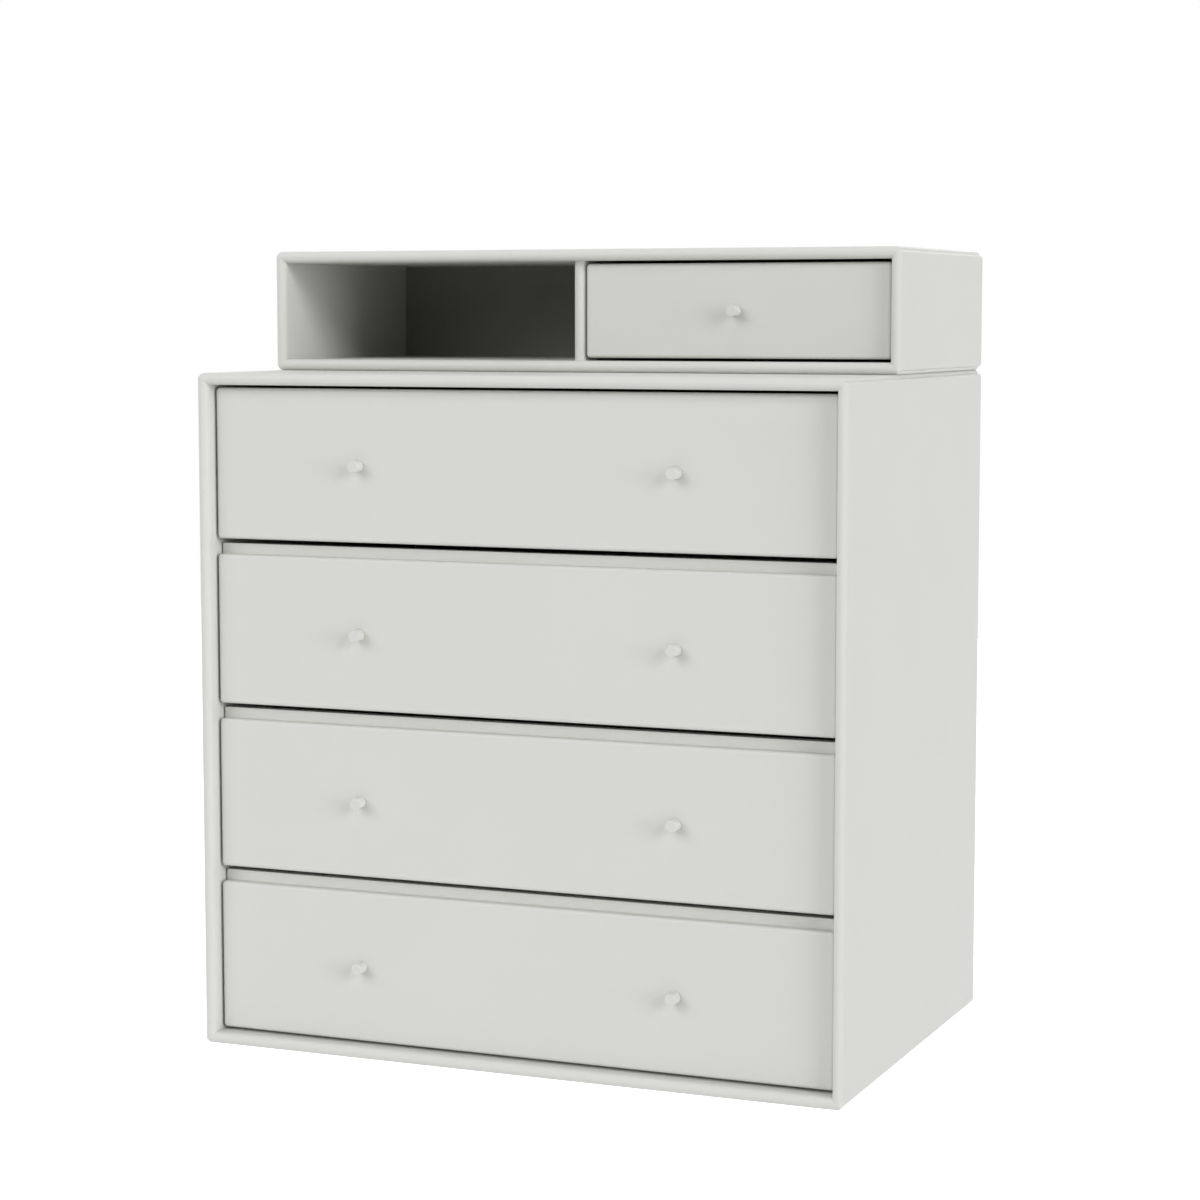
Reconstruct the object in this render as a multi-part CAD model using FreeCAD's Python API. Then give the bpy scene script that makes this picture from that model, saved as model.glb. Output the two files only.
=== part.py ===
import FreeCAD, Part
import math
import os

# Wall-mounted chest of drawers: a chest with equal full-width drawers and, standing on it,
# a shallower upper unit with an open compartment on the left and one drawer on the right.
# Millimetres. +X is to the right as seen from the room, -Y faces the room and +Z is up.
# The origin is on the wall, midway between the four wall screws, at half the chest's height.

V = FreeCAD.Vector

# Overall sizes
width = 696.0
chest_height = 696.0
chest_depth = 468.0
upper_height = 126.0
upper_depth = 300.0

# Carcass boards: mitred at the corners, with a half-round front edge
board = 12.0
tip_round = 3.6            # rounding of each mitred tip, which leaves a V groove at the corner
divider_setback = 11.0     # from the upper unit's front edge to the divider's
back_board = 6.0
back_inset = 3.0           # from the wall to the back board
groove_depth = 4.0         # how far the back boards reach into the carcass
groove_play = 0.15         # on each side of a board in its groove

# Hanging rails, which close the chest's back above and below the back board
rail_board = 18.0
rail_height = 70.0
wall_hole = 7.0            # diameter
wall_hole_edge = 56.0      # from a rail's end to its screw hole

# Dowels between the chest and the upper unit
dowel = 8.0                # diameter
dowel_length = 16.0
dowel_play = 0.1
dowel_side_inset = 60.0    # from the carcass's side

# Drawer fronts
drawer_count = 4
front_board = 12.0
front_side_gap = 2.0
front_end_gap = 3.0        # above the highest front and below the lowest one
front_gap = 16.0           # between one front and the next
front_corner = 4.0         # corner radius seen from the room
front_round = 3.5          # rounding of the edge round the face
chest_front_setback = 15.0
upper_front_setback = 12.0

# Drawer boxes
box_board = 12.0
box_bottom = 6.0
box_lift = 10.0            # from the front's lower edge to the box's lower edge
box_drop = 12.0            # from the front's upper edge to the box's upper edge
inner_front_rise = 10.5    # the inner front shows this much above its front
bottom_lift = 8.0          # from the box's lower edge to the underside of its bottom
bottom_groove = 5.0
chest_box_room = 9.0       # between a chest drawer's back and the hanging rails
upper_box_room = 3.0       # between the upper drawer's back and the back board

# Telescopic runners: three sheet-steel members on each side of a drawer
runner_width = 12.7
runner_height = 45.0
runner_gauge = 1.2
runner_play = 0.5
runner_lip = 11.0          # depth of the cabinet member
runner_hook = 4.0          # folded edge of the cabinet member
middle_hook = 5.0          # folded edge of the middle member
runner_front_room = 2.0    # from the inner front to the members' front ends

# Turned knobs, which sit flat on the fronts and are screwed from behind
knob_length = 14.0
knob_head = 5.7            # radius
knob_head_edge = 1.6
knob_neck = 4.2            # radius
knob_neck_place = 5.0      # from the front's face
knob_base = 6.0            # radius
knob_base_edge = 1.3

# Levels and planes that several pieces share
half_width = width / 2
inner_half = half_width - board
chest_floor = -chest_height / 2
chest_ceiling = chest_height / 2
upper_floor = chest_ceiling
upper_ceiling = upper_floor + upper_height
back_face = -(back_inset + back_board)
divider_half = board / 2
bay_center = (divider_half + inner_half) / 2


def block(x0, x1, y0, y1, z0, z1):
    return Part.makeBox(x1 - x0, y1 - y0, z1 - z0, V(x0, y0, z0))


def grown(x0, x1, y0, y1, z0, z1, play):
    return block(x0 - play, x1 + play, y0 - play, y1 + play, z0 - play, z1 + play)


def rod(radius, start, direction, length):
    return Part.makeCylinder(radius, length, start, direction)


def outline(edges):
    return Part.Face(Part.Wire([edge.toShape() for edge in edges]))


def half_round_board(length, depth):
    """A board along X: outer face up at Z = 0, back edge at Y = 0, half-round front edge."""
    radius = board / 2
    top_back = V(-length / 2, 0, 0)
    top_front = V(-length / 2, radius - depth, 0)
    nose = V(-length / 2, -depth, -radius)
    low_front = V(-length / 2, radius - depth, -board)
    low_back = V(-length / 2, 0, -board)
    section = outline([
        Part.LineSegment(top_back, top_front),
        Part.Arc(top_front, nose, low_front),
        Part.LineSegment(low_front, low_back),
        Part.LineSegment(low_back, top_back),
    ])
    return section.extrude(V(length, 0, 0))


def mitred_board(length, depth):
    """A half-round board whose ends are mitred, with each outer tip rounded over."""
    end = length / 2
    bow = tip_round * math.cos(math.pi / 4)
    points = {}
    for side in (-1, 1):
        points[side] = (
            V(side * (end - 2 * tip_round), -depth, 0),
            V(side * (end - 2 * tip_round + bow), -depth, bow - tip_round),
            V(side * (end - tip_round), -depth, -tip_round),
            V(side * (end - board), -depth, -board),
        )
    left, right = points[-1], points[1]
    section = outline([
        Part.LineSegment(left[0], right[0]),
        Part.Arc(right[0], right[1], right[2]),
        Part.LineSegment(right[2], right[3]),
        Part.LineSegment(right[3], left[3]),
        Part.LineSegment(left[3], left[2]),
        Part.Arc(left[2], left[1], left[0]),
    ])
    return section.extrude(V(0, depth, 0)).common(half_round_board(length, depth))


def turned_about_y(shape, degrees, place):
    moved = shape.copy()
    moved.rotate(V(0, 0, 0), V(0, 1, 0), degrees)
    moved.translate(place)
    return moved


def carcass(name, height, depth, floor):
    """The four mitred boards of one unit, by node name."""
    flat = mitred_board(width, depth)
    upright = mitred_board(height, depth)
    middle = floor + height / 2
    return {
        name + "_top": turned_about_y(flat, 0, V(0, 0, floor + height)),
        name + "_bottom": turned_about_y(flat, 180, V(0, 0, floor)),
        name + "_right_side": turned_about_y(upright, 90, V(half_width, 0, middle)),
        name + "_left_side": turned_about_y(upright, -90, V(-half_width, 0, middle)),
    }


def chest_shell():
    """Carcass, back board and hanging rails of the chest."""
    nodes = carcass("chest", chest_height, chest_depth, chest_floor)
    upper_rail = (chest_ceiling - board - rail_height, chest_ceiling - board)
    lower_rail = (chest_floor + board, chest_floor + board + rail_height)
    back = (-inner_half - groove_depth, inner_half + groove_depth, back_face, -back_inset,
            lower_rail[1] - groove_depth, upper_rail[0] + groove_depth)
    groove = grown(*back, groove_play)
    for side in ("chest_left_side", "chest_right_side"):
        nodes[side] = nodes[side].cut(groove)
    rails = []
    for low, high in (upper_rail, lower_rail):
        rail = block(-inner_half, inner_half, -rail_board, 0, low, high).cut(groove)
        for side in (-1, 1):
            start = V(side * (inner_half - wall_hole_edge), -rail_board, (low + high) / 2)
            rail = rail.cut(rod(wall_hole / 2, start, V(0, 1, 0), rail_board))
        rails.append(rail)
    nodes["chest_back"] = block(*back)
    nodes["hanging_rails"] = Part.makeCompound(rails)
    return nodes


def upper_shell():
    """Carcass, back board and divider of the upper unit."""
    nodes = carcass("upper", upper_height, upper_depth, upper_floor)
    low, high = upper_floor + board, upper_ceiling - board
    back = (-inner_half - groove_depth, inner_half + groove_depth, back_face, -back_inset,
            low - groove_depth, high + groove_depth)
    groove = grown(*back, groove_play)
    for node in nodes:
        nodes[node] = nodes[node].cut(groove)
    divider = half_round_board(high - low, upper_depth - divider_setback)
    divider = turned_about_y(divider, 90, V(divider_half, 0, (low + high) / 2))
    nodes["upper_back"] = block(*back)
    nodes["upper_divider"] = divider.cut(block(-board, board, back_face, 0, low, high))
    return nodes


def join_units(nodes):
    """Dowels between the upper unit and the chest, and their blind holes."""
    dowels = []
    bottom = chest_ceiling - dowel_length / 2
    y = -upper_depth / 2
    for x in (dowel_side_inset - half_width, half_width - dowel_side_inset):
        dowels.append(rod(dowel / 2, V(x, y, bottom), V(0, 0, 1), dowel_length))
        hole = rod(dowel / 2 + dowel_play, V(x, y, bottom - dowel_play), V(0, 0, 1),
                   dowel_length + 2 * dowel_play)
        for node in ("chest_top", "upper_bottom"):
            nodes[node] = nodes[node].cut(hole)
    nodes["connecting_dowels"] = Part.makeCompound(dowels)


def drawer_front(left, right, low, high, face):
    """A front with rounded corners and a rounded edge round its face."""
    front = block(left, right, face, face + front_board, low, high)
    corners = [e for e in front.Edges if e.BoundBox.YLength > front_board / 2]
    front = front.makeFillet(front_corner, corners)
    rim = [e for e in front.Edges if e.BoundBox.YMax < face + front_board / 4]
    return front.makeFillet(front_round, rim)


def knob(x, face, z):
    """A turned knob: round head, waisted neck and a flange on the front."""
    profile = [
        V(0, 0, 0),
        V(knob_base, 0, 0),
        V(knob_base, -knob_base_edge, 0),
        V(knob_neck, -knob_neck_place, 0),
        V(knob_head, knob_head_edge - knob_length, 0),
        V(knob_head, -knob_length, 0),
        V(0, -knob_length, 0),
    ]
    section = Part.Face(Part.makePolygon(profile + profile[:1]))
    turned = section.revolve(V(0, 0, 0), V(0, 1, 0), 360)
    turned.translate(V(x, face, z))
    return turned


def sheet_member(half_outline, y0, y1):
    """A folded member: the outline of its upper half is given and mirrored below."""
    upper = [V(x, y0, z) for x, z in half_outline]
    lower = [V(x, y0, -z) for x, z in reversed(half_outline)]
    points = upper + lower
    return Part.Face(Part.makePolygon(points + points[:1])).extrude(V(0, y1 - y0, 0))


def hooked_member(start, end, height, hook, y0, y1):
    """A channel open to the drawer, whose flanges end in hooks."""
    top = height / 2
    gauge = runner_gauge
    return sheet_member([
        (start, top),
        (end, top),
        (end, top - hook),
        (end - gauge, top - hook),
        (end - gauge, top - gauge),
        (start + gauge, top - gauge),
    ], y0, y1)


def runner(y0, y1):
    """The cabinet, middle and drawer members of one runner, from X = 0 at the carcass."""
    step = runner_gauge + runner_play
    middle_end = runner_lip - step
    middle_height = runner_height - 2 * step
    wing_end = middle_end - step
    wing_start = wing_end - runner_gauge
    wing_top = middle_height / 2 - step
    wall_top = middle_height / 2 - middle_hook - runner_play
    wall_low = wall_top - runner_gauge
    drawer_member = sheet_member([
        (runner_width, wall_top),
        (wing_end, wall_top),
        (wing_end, wing_top),
        (wing_start, wing_top),
        (wing_start, wall_low),
        (runner_width - runner_gauge, wall_low),
    ], y0, y1)
    return (
        hooked_member(0, runner_lip, runner_height, runner_hook, y0, y1),
        hooked_member(step, middle_end, middle_height, middle_hook, y0, y1),
        drawer_member,
    )


def placed_pairs(members, left, right, z):
    """Each member of a runner, once at the left of its bay and mirrored at the right."""
    pairs = []
    for member in members:
        at_left = member.copy()
        at_left.translate(V(left, 0, z))
        at_right = member.mirror(V(0, 0, 0), V(1, 0, 0))
        at_right.translate(V(right, 0, z))
        pairs.append((at_left, at_right))
    return pairs


def drawer_box(name, left, right, low, high, inner_left, inner_right, inner_top, y0, y1):
    """Inner front, sides, back and bottom of one drawer, with the bottom in grooves."""
    inner_front = (inner_left, inner_right, y0 - box_board, y0, low, inner_top)
    boards = {
        "_inner_front": block(*inner_front),
        "_left_side": block(left, left + box_board, y0, y1, low, high),
        "_right_side": block(right - box_board, right, y0, y1, low, high),
        "_back": block(left + box_board, right - box_board, y1 - box_board, y1, low, high),
    }
    inset = box_board - bottom_groove
    bottom_low = low + bottom_lift
    bottom = (left + inset, right - inset, y0 - bottom_groove, y1 - inset,
              bottom_low, bottom_low + box_bottom)
    groove = grown(*bottom, groove_play)
    nodes = {name + suffix: solid.cut(groove) for suffix, solid in boards.items()}
    nodes[name + "_bottom"] = block(*bottom)
    return nodes


def drawer(name, bay, low, high, face, box_back, knob_places, inner_top):
    """All the pieces of one drawer, and the cabinet members that its runners slide in."""
    bay_left, bay_right = bay
    left, right = bay_left + front_side_gap, bay_right - front_side_gap
    box_front = face + front_board + box_board
    box_low, box_high = low + box_lift, high - box_drop
    nodes = {
        name + "_front": drawer_front(left, right, low, high, face),
        name + "_knobs": Part.makeCompound(
            [knob(x, face, (low + high) / 2) for x in knob_places]),
    }
    nodes.update(drawer_box(
        name, bay_left + runner_width, bay_right - runner_width, box_low, box_high,
        left, right, inner_top, box_front, box_back))
    members = runner(box_front + runner_front_room, box_back)
    pairs = placed_pairs(members, bay_left, bay_right, (box_low + box_high) / 2)
    nodes[name + "_middle_members"] = Part.makeCompound(pairs[1])
    nodes[name + "_drawer_members"] = Part.makeCompound(pairs[2])
    return nodes, pairs[0]


def chest_drawers():
    """The chest's drawers, numbered from the top, and their cabinet members as one node."""
    nodes, fixed = {}, []
    room = chest_height - 2 * (board + front_end_gap) - (drawer_count - 1) * front_gap
    front_height = room / drawer_count
    face = chest_front_setback - chest_depth
    for number in range(1, drawer_count + 1):
        from_top = (number - 1) * (front_height + front_gap)
        high = chest_ceiling - board - front_end_gap - from_top
        inner_top = high - box_drop if number == 1 else high + inner_front_rise
        pieces, members = drawer(
            "drawer_%d" % number, (-inner_half, inner_half), high - front_height, high, face,
            -(rail_board + chest_box_room), (-bay_center, bay_center), inner_top)
        nodes.update(pieces)
        fixed.extend(members)
    nodes["chest_cabinet_members"] = Part.makeCompound(fixed)
    return nodes


def upper_drawer():
    """The upper unit's drawer, right of the divider."""
    low = upper_floor + board + front_end_gap
    high = upper_ceiling - board - front_end_gap
    nodes, members = drawer(
        "upper_drawer", (divider_half, inner_half), low, high,
        upper_front_setback - upper_depth, back_face - upper_box_room,
        (bay_center,), high - box_drop)
    nodes["upper_cabinet_members"] = Part.makeCompound(members)
    return nodes


def main():
    os.makedirs("parts", exist_ok=True)
    nodes = chest_shell()
    nodes.update(upper_shell())
    join_units(nodes)
    nodes.update(chest_drawers())
    nodes.update(upper_drawer())
    for name, shape in nodes.items():
        shape.exportStep("parts/%s.step" % name)
    print(len(nodes), "nodes,", sum(len(s.Solids) for s in nodes.values()), "solids")


main()
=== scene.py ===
import math

import bmesh
import bpy
from mathutils import Matrix, Vector


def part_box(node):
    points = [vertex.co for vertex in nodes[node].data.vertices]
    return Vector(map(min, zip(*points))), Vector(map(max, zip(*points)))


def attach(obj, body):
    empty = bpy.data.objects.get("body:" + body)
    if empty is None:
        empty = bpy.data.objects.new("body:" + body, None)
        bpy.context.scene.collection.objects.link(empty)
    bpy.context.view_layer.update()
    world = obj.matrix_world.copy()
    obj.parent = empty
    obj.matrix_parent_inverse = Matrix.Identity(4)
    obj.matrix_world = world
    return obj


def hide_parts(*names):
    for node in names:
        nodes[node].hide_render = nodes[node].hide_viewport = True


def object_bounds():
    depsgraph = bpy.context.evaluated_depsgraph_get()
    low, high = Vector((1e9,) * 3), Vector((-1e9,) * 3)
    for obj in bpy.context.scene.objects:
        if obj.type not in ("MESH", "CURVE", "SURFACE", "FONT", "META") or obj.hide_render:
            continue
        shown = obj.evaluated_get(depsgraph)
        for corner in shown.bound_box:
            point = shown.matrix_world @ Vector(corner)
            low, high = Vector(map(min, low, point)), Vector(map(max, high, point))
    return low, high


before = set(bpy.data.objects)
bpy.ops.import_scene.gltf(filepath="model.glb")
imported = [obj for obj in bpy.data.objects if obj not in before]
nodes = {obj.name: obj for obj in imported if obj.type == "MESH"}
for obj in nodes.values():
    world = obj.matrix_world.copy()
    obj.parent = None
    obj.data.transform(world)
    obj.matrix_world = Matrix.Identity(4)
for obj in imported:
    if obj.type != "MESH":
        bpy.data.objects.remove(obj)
cadLow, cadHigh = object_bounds()
drawers = ["drawer_%d" % number for number in (1, 2, 3, 4)] + ["upper_drawer"]
print("frame loaded:", len(nodes), "nodes")


class Wire:  # one node output, so that shader maths reads as a plain expression
    def __init__(self, tree, socket):
        self.tree, self.socket = tree, socket

    def operate(self, operation, first, second):
        return self.tree.add("ShaderNodeMath", {"operation": operation}, {0: first, 1: second})

    def __add__(self, other): return self.operate("ADD", self, other)
    def __radd__(self, other): return self.operate("ADD", other, self)
    def __sub__(self, other): return self.operate("SUBTRACT", self, other)
    def __rsub__(self, other): return self.operate("SUBTRACT", other, self)
    def __mul__(self, other): return self.operate("MULTIPLY", self, other)
    def __rmul__(self, other): return self.operate("MULTIPLY", other, self)


class Tree:  # the nodes of one material or world
    def __init__(self, owner, shader):
        owner.use_nodes = True
        self.owner, self.nodeTree = owner, owner.node_tree
        self.shader = self.nodeTree.nodes[shader]

    def add(self, kind, settings, sockets, out=0):
        node = self.nodeTree.nodes.new(kind)
        for key, value in settings.items():
            setattr(node, key, value)
        for key, value in sockets.items():
            self.feed(node.inputs[key], value)
        return Wire(self, node.outputs[out])

    def feed(self, socket, value):
        if isinstance(value, Wire):
            self.nodeTree.links.new(value.socket, socket)
        else:
            socket.default_value = value

    def set(self, sockets):
        for key, value in sockets.items():
            self.feed(self.shader.inputs[key], value)

    def stretched(self, scale):  # the piece's own place in metres, times a scale on each axis
        place = self.add("ShaderNodeTexCoord", {}, {}, out="Object")
        return self.add("ShaderNodeVectorMath", {"operation": "MULTIPLY"}, {0: place, 1: scale})

    def noise(self, scale, detail=2.0, roughness=0.5):
        return self.add("ShaderNodeTexNoise", {}, {
            "Vector": self.stretched(scale), "Scale": 1.0,
            "Detail": detail, "Roughness": roughness})

    def between(self, factor, first, second):  # 0, 6 and 7 are a colour mix's factor and colours
        return self.add("ShaderNodeMix", {"data_type": "RGBA"},
                        {0: factor, 6: first, 7: second}, out=2)

    def contrast(self, value, low, high):
        return self.add("ShaderNodeMapRange", {},
                        {"Value": value, "From Min": low, "From Max": high})

    def bump(self, height, strength, depth):
        return self.add("ShaderNodeBump", {},
                        {"Strength": strength, "Distance": depth, "Height": height})

    def toned(self, factor, spec):  # from a darker to a lighter shade of the piece's colour
        return self.between(factor, shade(spec["colour"], 1 - spec["tone"]),
                            shade(spec["colour"], 1 + spec["tone"]))


def newMaterial(name):
    return Tree(bpy.data.materials.new(name), "Principled BSDF")


def shade(colour, share):  # the colour made lighter or darker
    return tuple(value * share for value in colour) + (1,)


def evenScale(size):  # waves of this size in metres, the same on each axis
    return (1 / size,) * 3


def alongScale(axis, length, thickness):  # long streaks along one axis
    return tuple(1 / (length if index == axis else thickness) for index in range(3))


def shared(first, second, share):  # so much of the first, the rest of the second
    return first * share + second * (1 - share)


def spread(limits, value):  # from the first limit to the second
    return limits[0] + (limits[1] - limits[0]) * value


noiseRange = (0.3, 0.7)      # most of a noise's values lie between these
axisX, axisY, axisZ = range(3)

carcassLacquer = {
    "colour": (0.615, 0.619, 0.575),
    "tone": 0.010,           # how far the film wanders from its colour
    "cloudSize": 0.11,
    "cloudShare": 0.6,       # the rest is grain
    "grainSize": 0.0022,
    "roughness": (0.50, 0.60),
    "shine": 0.22,
    "peelSize": 0.0017,      # the spray's orange peel
    "peelDepth": 0.00002,
    "peelStrength": 0.25,
}
frontLacquer = dict(carcassLacquer, cloudSize=0.16)
# painted light: the same lacquer made lighter for the inner fronts, so that the strips seen in the
# shaded gaps between the fronts look brighter
paintedLightInnerLacquer = dict(frontLacquer, colour=(0.655, 0.659, 0.610))
knobLacquer = dict(carcassLacquer, cloudSize=0.01, grainSize=0.0012, peelSize=0.0011)


def lacquerMaterial(name, spec):
    tree = newMaterial(name)
    cloud = tree.noise(evenScale(spec["cloudSize"]))
    grain = tree.noise(evenScale(spec["grainSize"]), detail=1.0)
    peel = tree.noise(evenScale(spec["peelSize"]), detail=1.0)
    film = tree.contrast(shared(cloud, grain, spec["cloudShare"]), *noiseRange)
    tree.set({
        "Base Color": tree.toned(film, spec),
        "Roughness": spread(spec["roughness"], grain),
        "Specular IOR Level": spec["shine"],
        "Normal": tree.bump(peel, spec["peelStrength"], spec["peelDepth"]),
    })
    return tree.owner


boxBoard = {
    "colour": (0.600, 0.603, 0.558),
    "tone": 0.022,
    "streak": (0.14, 0.0013),   # length and width of the grain under the lacquer
    "streakShare": 0.7,         # the rest is cloud
    "cloudSize": 0.09,
    "roughness": (0.52, 0.66),
    "shine": 0.25,
    "grainDepth": 0.00003,
    "grainStrength": 0.35,
}


def boxBoardMaterial(name, spec, axis):
    tree = newMaterial(name)
    streak = tree.noise(alongScale(axis, *spec["streak"]), detail=3.0)
    cloud = tree.noise(evenScale(spec["cloudSize"]))
    film = tree.contrast(shared(streak, cloud, spec["streakShare"]), *noiseRange)
    tree.set({
        "Base Color": tree.toned(film, spec),
        "Roughness": spread(spec["roughness"], streak),
        "Specular IOR Level": spec["shine"],
        "Normal": tree.bump(streak, spec["grainStrength"], spec["grainDepth"]),
    })
    return tree.owner


paintedShadeBackBoard = {
    # painted shade: the back board is coloured far darker than the lacquer so that the
    # compartment's back looks shaded; its fibre and tone are its own
    "colour": (0.250, 0.251, 0.208),
    "tone": 0.05,
    "fibreSize": 0.0016,
    "fibreShare": 0.65,         # the rest is cloud
    "cloudSize": 0.05,
    "roughness": (0.58, 0.72),
    "shine": 0.2,
    "fibreDepth": 0.00005,
    "fibreStrength": 0.4,
}


def paintedShadeBackBoardMaterial(name, spec):
    tree = newMaterial(name)
    fibre = tree.noise(evenScale(spec["fibreSize"]), detail=3.0, roughness=0.65)
    cloud = tree.noise(evenScale(spec["cloudSize"]))
    film = tree.contrast(shared(fibre, cloud, spec["fibreShare"]), *noiseRange)
    tree.set({
        "Base Color": tree.toned(film, spec),
        "Roughness": spread(spec["roughness"], fibre),
        "Specular IOR Level": spec["shine"],
        "Normal": tree.bump(fibre, spec["fibreStrength"], spec["fibreDepth"]),
    })
    return tree.owner


railBoard = {
    "colour": (0.520, 0.385, 0.245),
    "tone": 0.08,
    "cloudSize": 0.03,
    "fleck": (0.340, 0.225, 0.125),
    "fleckSize": (0.006, 0.0009),   # length and width of the pressed fibres
    "fleckRange": (0.56, 0.74),     # the noise above which a fleck shows
    "roughness": (0.82, 0.70),
    "shine": 0.25,
    "fibreDepth": 0.00012,
    "fibreStrength": 0.5,
}


def railBoardMaterial(name, spec):
    tree = newMaterial(name)
    fibre = tree.noise(alongScale(axisX, *spec["fleckSize"]), detail=3.0, roughness=0.6)
    body = tree.toned(tree.noise(evenScale(spec["cloudSize"])), spec)
    flecks = tree.contrast(fibre, *spec["fleckRange"])
    tree.set({
        "Base Color": tree.between(flecks, body, shade(spec["fleck"], 1)),
        "Roughness": spread(spec["roughness"], fibre),
        "Specular IOR Level": spec["shine"],
        "Normal": tree.bump(fibre, spec["fibreStrength"], spec["fibreDepth"]),
    })
    return tree.owner


dowelWood = {
    "colour": (0.560, 0.400, 0.245),
    "tone": 0.08,
    "ring": (0.08, 0.003),          # length and width of the year rings' bands
    "pore": (0.330, 0.205, 0.110),
    "poreSize": (0.012, 0.0007),
    "poreRange": (0.55, 0.75),
    "roughness": (0.55, 0.75),
    "poreDepth": 0.0001,
    "poreStrength": 0.4,
}


def dowelMaterial(name, spec):
    tree = newMaterial(name)
    grain = tree.noise(alongScale(axisZ, *spec["poreSize"]), detail=3.0)
    body = tree.toned(tree.noise(alongScale(axisZ, *spec["ring"])), spec)
    pores = tree.contrast(grain, *spec["poreRange"])
    tree.set({
        "Base Color": tree.between(pores, body, shade(spec["pore"], 1)),
        "Roughness": spread(spec["roughness"], grain),
        "Normal": tree.bump(grain, spec["poreStrength"], spec["poreDepth"]),
    })
    return tree.owner


runnerSteel = {
    "colour": (0.340, 0.345, 0.332),
    "tone": 0.06,
    "roll": (0.25, 0.0008),     # length and width of the rolling marks
    "rollDepth": 0.00002,
    "rollStrength": 0.2,
    "spangleSize": 0.006,       # zinc crystals
    "spangleShare": 0.5,        # of the colour, the rest is rolling marks
    "roughness": (0.50, 0.62),
    "roughRollShare": 0.7,      # of the roughness, the rest is crystals
}
screwSteel = dict(runnerSteel, colour=(0.430, 0.436, 0.420), roll=(0.004, 0.0004),
                  spangleSize=0.002)


def zincMaterial(name, spec):
    tree = newMaterial(name)
    roll = tree.noise(alongScale(axisY, *spec["roll"]))
    crystals = tree.stretched(evenScale(spec["spangleSize"]))
    spangle = tree.add("ShaderNodeTexVoronoi", {}, {"Vector": crystals, "Scale": 1.0}, out="Color")
    patch = tree.add("ShaderNodeSeparateColor", {}, {0: spangle})
    tree.set({
        "Base Color": tree.toned(shared(patch, roll, spec["spangleShare"]), spec),
        "Metallic": 1.0,
        "Roughness": spread(spec["roughness"], shared(roll, patch, spec["roughRollShare"])),
        "Normal": tree.bump(roll, spec["rollStrength"], spec["rollDepth"]),
    })
    return tree.owner


def dress(material, names):
    for name in names:
        nodes[name].data.materials.clear()
        nodes[name].data.materials.append(material)


def ofEach(owners, *parts):  # the nodes' names, such as drawer_1_front
    return [owner + part for owner in owners for part in parts]


carcassFinish = lacquerMaterial("carcassLacquer", carcassLacquer)
frontFinish = lacquerMaterial("frontLacquer", frontLacquer)
paintedLightInnerFinish = lacquerMaterial("innerFrontLacquerPaintedLight", paintedLightInnerLacquer)
knobFinish = lacquerMaterial("knobLacquer", knobLacquer)
boxLongFinish = boxBoardMaterial("boxBoardLong", boxBoard, axisY)
boxCrossFinish = boxBoardMaterial("boxBoardCross", boxBoard, axisX)
runnerFinish = zincMaterial("runnerSteel", runnerSteel)
screwFinish = zincMaterial("screwSteel", screwSteel)

dress(carcassFinish, ofEach(("chest", "upper"), "_top", "_bottom", "_left_side", "_right_side"))
dress(carcassFinish, ["upper_divider"])
dress(frontFinish, ofEach(drawers, "_front"))
dress(paintedLightInnerFinish, ofEach(drawers, "_inner_front"))
dress(boxLongFinish, ofEach(drawers, "_left_side", "_right_side", "_bottom"))
dress(boxCrossFinish, ofEach(drawers, "_back"))
# the back boards carry painted shade, a colour far darker than the lacquer
dress(paintedShadeBackBoardMaterial("paintedShadeBackBoard", paintedShadeBackBoard), ["chest_back", "upper_back"])
dress(railBoardMaterial("railBoard", railBoard), ["hanging_rails"])
dress(dowelMaterial("dowelWood", dowelWood), ["connecting_dowels"])
dress(runnerFinish, ["chest_cabinet_members", "upper_cabinet_members"])
dress(runnerFinish, ofEach(drawers, "_middle_members", "_drawer_members"))
print("finishes on the boards and runners")


boxEdge = {
    "weld": 0.00001,       # joins the faces of the CAD mesh
    "width": 0.0007,       # of the sanded edge
    "segments": 2,
    "angle": 40,           # degrees, sharper edges than this are softened
}


def softenEdges(names, spec):
    for name in names:
        weld = nodes[name].modifiers.new("weld", "WELD")
        weld.merge_threshold = spec["weld"]
        bevel = nodes[name].modifiers.new("edge", "BEVEL")
        bevel.width, bevel.segments = spec["width"], spec["segments"]
        bevel.limit_method, bevel.angle_limit = "ANGLE", math.radians(spec["angle"])
        nodes[name].modifiers.new("normals", "WEIGHTED_NORMAL")


softenEdges(ofEach(drawers, "_left_side", "_right_side", "_back"), boxEdge)
print("board edges softened")


def newPiece(name, mesh, material, body):
    data = bpy.data.meshes.new(name)
    bmesh.ops.recalc_face_normals(mesh, faces=mesh.faces)
    mesh.to_mesh(data)
    mesh.free()
    data.materials.append(material)
    piece = bpy.data.objects.new(name, data)
    bpy.context.scene.collection.objects.link(piece)
    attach(piece, body)
    return piece


def turn(mesh, outline, segments, stand):  # revolves (radius, height) points about the own axis
    angles = [2 * math.pi * step / segments for step in range(segments)]
    rings = []
    for radius, height in outline:
        spots = [(radius * math.cos(angle), radius * math.sin(angle)) for angle in angles]
        if radius == 0:
            spots = [(0, 0)]
        rings.append([mesh.verts.new(stand @ Vector((x, y, height))) for x, y in spots])
    for first, second in zip(rings, rings[1:]):
        for step in range(segments):
            corners = [first[step % len(first)], first[(step + 1) % len(first)],
                       second[(step + 1) % len(second)], second[step % len(second)]]
            face = mesh.faces.new(list(dict.fromkeys(corners)))
            face.smooth = True
    return rings


def standing(place, direction):  # puts a piece's own axis at a place, along a direction
    turned = Vector(direction).to_track_quat("Z", "Y").to_matrix().to_4x4()
    return Matrix.Translation(place) @ turned


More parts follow.
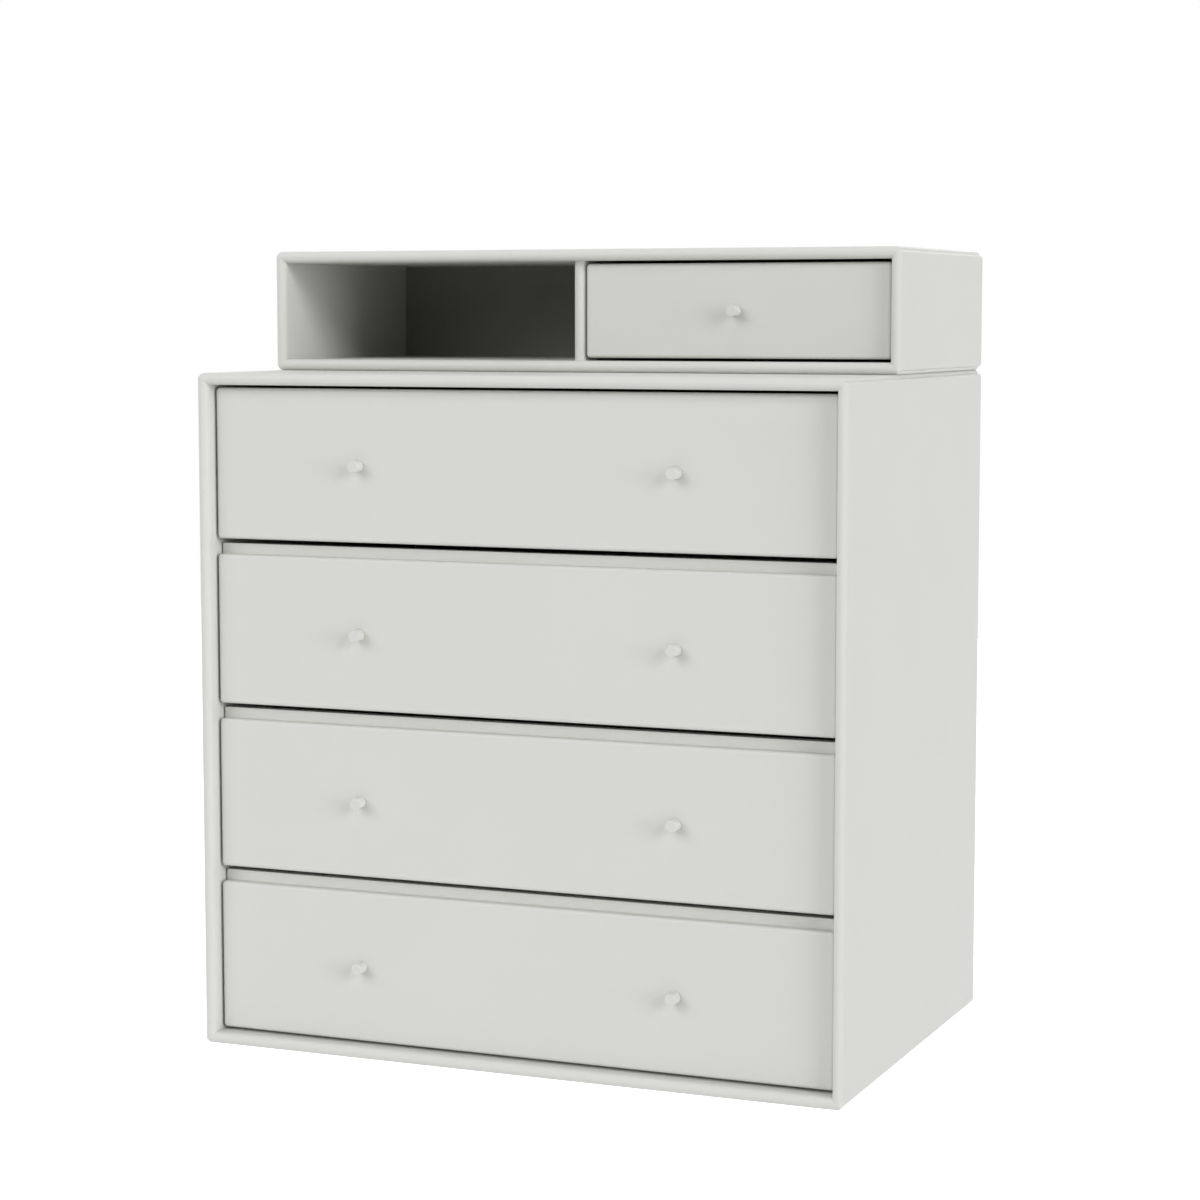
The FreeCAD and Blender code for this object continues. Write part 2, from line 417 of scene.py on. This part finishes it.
knob = {
    "base": 0.0060,        # radius of the foot, the same as the CAD knob's
    "spigot": 0.0050,      # radius of what stands on the front
    "gap": 0.0005,         # the shadow line under the foot
    "foot": 0.0014,        # from the front to the top of its rim
    "arris": 0.0002,       # taken off the rim's edges
    "rimIn": 0.0001,       # where the body starts, inside the rim
    "neck": 0.0058,
    "neckOut": 0.0026,     # from the front to the waist
    "footCurve": 1.6,
    "bodyCurve": 0.5,
    "head": 0.0060,
    "headRound": 0.0006,
    "faceRings": (0.8, 0.3),   # shares of the head's radius
    "length": 0.0140,
    "steps": 8,            # points along each curve
    "segments": 64,
}


def knobOutline(spec):
    steps = [(index + 1) / spec["steps"] for index in range(spec["steps"])]
    base, spigot, gap, foot = spec["base"], spec["spigot"], spec["gap"], spec["foot"]
    neck, out, head, edge = spec["neck"], spec["neckOut"], spec["head"], spec["headRound"]
    arris, start, length = spec["arris"], base - spec["rimIn"], spec["length"]
    rim = length - edge
    outline = [(0, 0), (spigot, 0), (spigot, gap), (base - arris, gap), (base, gap + arris),
               (base, foot - arris), (start, foot)]
    for step in steps:  # foot to waist
        outline.append((neck + (start - neck) * (1 - step) ** spec["footCurve"],
                        foot + (out - foot) * step))
    for step in steps:  # waist to head
        outline.append((neck + (head - neck) * step ** spec["bodyCurve"], out + (rim - out) * step))
    for step in steps:  # the head's rounded edge
        angle = step * math.pi / 2
        outline.append((head - edge + edge * math.cos(angle), rim + edge * math.sin(angle)))
    return outline + [(head * share, length) for share in spec["faceRings"]] + [(0, length)]


def knobPlaces(drawer):  # a single knob gives the same place twice, which the set leaves once
    low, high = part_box(drawer + "_knobs")
    across = sorted({round(low.x + knob["base"], 4), round(high.x - knob["base"], 4)})
    return [(x, high.y, (low.z + high.z) / 2) for x in across]


def makeKnobs(drawer, spec):
    mesh = bmesh.new()
    for place in knobPlaces(drawer):
        turn(mesh, knobOutline(spec), spec["segments"], standing(Vector(place), (0, -1, 0)))
    piece = newPiece(drawer + "_turned_knobs", mesh, knobFinish, drawer)
    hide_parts(drawer + "_knobs")


for drawerName in drawers:
    makeKnobs(drawerName, knob)
print("knobs turned")


screw = {
    "radius": 0.0036,
    "height": 0.0022,
    "dome": ((1, 0), (1, 0.2), (0.95, 0.5), (0.84, 0.78), (0.68, 0.94), (0.55, 1)),  # shares
    "crossLength": 0.0016,   # half of it
    "crossWidth": 0.00045,   # half of it
    "crossDepth": 0.0011,
    "crossTaper": 0.6,       # its floor against its mouth
    "segments": 24,
}


def addScrew(mesh, spec, place, direction, spin):
    stand = standing(place, direction) @ Matrix.Rotation(spin, 4, "Z")
    height, taper = spec["height"], spec["crossTaper"]
    outline = [(0, 0)] + [(spec["radius"] * out, height * up) for out, up in spec["dome"]]
    rim = turn(mesh, outline, spec["segments"], stand)[-1]
    long, half = spec["crossLength"], spec["crossWidth"]
    arm = [(half, long), (half, half), (long, half), (long, -half), (half, -half), (half, -long)]
    cross = arm + [(-x, -y) for x, y in arm]
    lip = [mesh.verts.new(stand @ Vector((x, y, height))) for x, y in cross]
    pit = [mesh.verts.new(stand @ Vector((taper * x, taper * y, height - spec["crossDepth"])))
           for x, y in cross]
    edges = []
    for loop in (rim, lip):
        for index, vertex in enumerate(loop):
            follower = loop[(index + 1) % len(loop)]
            edges.append(mesh.edges.get((vertex, follower)) or mesh.edges.new((vertex, follower)))
    bmesh.ops.triangle_fill(mesh, edges=edges, use_beauty=True)
    for index in range(len(lip)):
        follower = (index + 1) % len(lip)
        mesh.faces.new((lip[index], lip[follower], pit[follower], pit[index]))
    mesh.faces.new(pit)


frontScrews = {
    "sideInset": 0.045,    # from the box's inner corner
    "endInset": 0.022,     # from the drawer's floor and from the top of its sides
    "spinStep": 0.73,      # so that no two crosses stand alike
}


def makeFrontScrews(drawer, spec):
    left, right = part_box(drawer + "_left_side")[1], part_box(drawer + "_right_side")[0]
    floorTop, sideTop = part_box(drawer + "_bottom")[1].z, left.z
    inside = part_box(drawer + "_inner_front")[1].y
    places = [(x, z) for x, y, z in knobPlaces(drawer)]
    places += [(x, z) for x in (left.x + spec["sideInset"], right.x - spec["sideInset"])
               for z in (floorTop + spec["endInset"], sideTop - spec["endInset"])]
    mesh = bmesh.new()
    for index, (x, z) in enumerate(places):
        addScrew(mesh, screw, Vector((x, inside, z)), (0, 1, 0), spec["spinStep"] * index)
    newPiece(drawer + "_front_screws", mesh, screwFinish, drawer)


runnerScrews = {
    "shares": (0.07, 0.45, 0.9),   # of the member's length
    "webInset": 0.0012,            # the member's own thickness
    "spinStep": 1.1,
}


def makeRunnerScrews(drawer, spec):
    low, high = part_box(drawer + "_drawer_members")
    left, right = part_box(drawer + "_left_side")[0].x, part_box(drawer + "_right_side")[1].x
    mesh = bmesh.new()
    for side, x in ((-1, left - spec["webInset"]), (1, right + spec["webInset"])):
        for index, share in enumerate(spec["shares"]):
            place = Vector((x, low.y + share * (high.y - low.y), (low.z + high.z) / 2))
            addScrew(mesh, screw, place, (side, 0, 0), spec["spinStep"] * (index + side))
    newPiece(drawer + "_runner_screws", mesh, screwFinish, drawer)


for drawerName in drawers:
    makeFrontScrews(drawerName, frontScrews)
    makeRunnerScrews(drawerName, runnerScrews)
print("screws set")


camera = {
    "place": (1.16325, -3.03745, 0.40507),
    "pitch": -0.09776,     # radians, down from level
    "yaw": 0.39300,
    "lens": 86.668,
}


def makeCamera(spec):
    data = bpy.data.cameras.new("photoCamera")
    data.lens = spec["lens"]
    holder = bpy.data.objects.new("photoCamera", data)
    holder.location = spec["place"]
    holder.rotation_euler = (math.pi / 2 + spec["pitch"], 0, spec["yaw"])
    bpy.context.scene.collection.objects.link(holder)
    bpy.context.scene.camera = holder


makeCamera(camera)


lampColour = (0.967, 0.967, 1.0)
lamps = {  # degrees round the object from straight in front, up and across, and strength
    "leftKey": {"round": -38, "up": 26, "across": 46, "strength": 1.28},
    "frontKey": {"round": -14, "up": 26, "across": 44, "strength": 0.58},
    "rightKey": {"round": 60, "up": 24, "across": 20, "strength": 0.90},
    "rightLow": {"round": 76, "up": 4, "across": 28, "strength": 1.42},
    "highLeft": {"round": -100, "up": 30, "across": 44, "strength": 0.80},
    "topFill": {"round": 0, "up": 90, "across": 44, "strength": 0.90},
    "backFill": {"round": 180, "up": 35, "across": 48, "strength": 1.00},
}


def makeLamp(name, spec):
    data = bpy.data.lights.new(name, "SUN")
    data.angle = math.radians(spec["across"])
    data.color = lampColour
    data.energy = spec["strength"]
    holder = bpy.data.objects.new(name, data)
    holder.rotation_euler = (math.radians(90 - spec["up"]), 0, math.radians(spec["round"]))
    bpy.context.scene.collection.objects.link(holder)


for lampName, lampSpec in lamps.items():
    makeLamp(lampName, lampSpec)


def whiteWhereSeen(tree):  # white for what the camera sees, straight or in metal or glass
    direct, glossy, through = [
        tree.add("ShaderNodeLightPath", {}, {}, out=ray)
        for ray in ("Is Camera Ray", "Is Glossy Ray", "Is Transmission Ray")]
    seen = direct.operate("MAXIMUM", direct.operate("MAXIMUM", direct, glossy), through)
    return tree.between(seen, (0, 0, 0, 1), (1, 1, 1, 1))


def makeWorld():
    world = bpy.data.worlds.new("studio")
    bpy.context.scene.world = world
    tree = Tree(world, "Background")
    tree.set({"Color": whiteWhereSeen(tree), "Strength": 1.0})


makeWorld()


floor = {
    "drop": 1.2,             # below the underside of the chest
    "side": 28.0,
    "cells": 8,
    "colour": (0.9, 0.9, 0.9),
    "roughness": 0.9,
    "glow": 0.45,            # lifts the paper to white where the camera sees it
}


def makeFloor(spec):
    mesh = bmesh.new()
    bmesh.ops.create_grid(mesh, x_segments=spec["cells"], y_segments=spec["cells"],
                          size=spec["side"] / 2)
    data = bpy.data.meshes.new("floor")
    mesh.to_mesh(data)
    mesh.free()
    plane = bpy.data.objects.new("floor", data)
    plane.location = (0, 0, cadLow.z - spec["drop"])
    bpy.context.scene.collection.objects.link(plane)
    tree = newMaterial("floorPaper")
    tree.set({
        "Base Color": shade(spec["colour"], 1),
        "Roughness": spec["roughness"],
        "Specular IOR Level": 0.0,
        "Emission Color": whiteWhereSeen(tree),
        "Emission Strength": spec["glow"],
    })
    data.materials.append(tree.owner)


makeFloor(floor)
bpy.context.scene.view_settings.view_transform = "Standard"
print("camera, lamps, world and floor set")
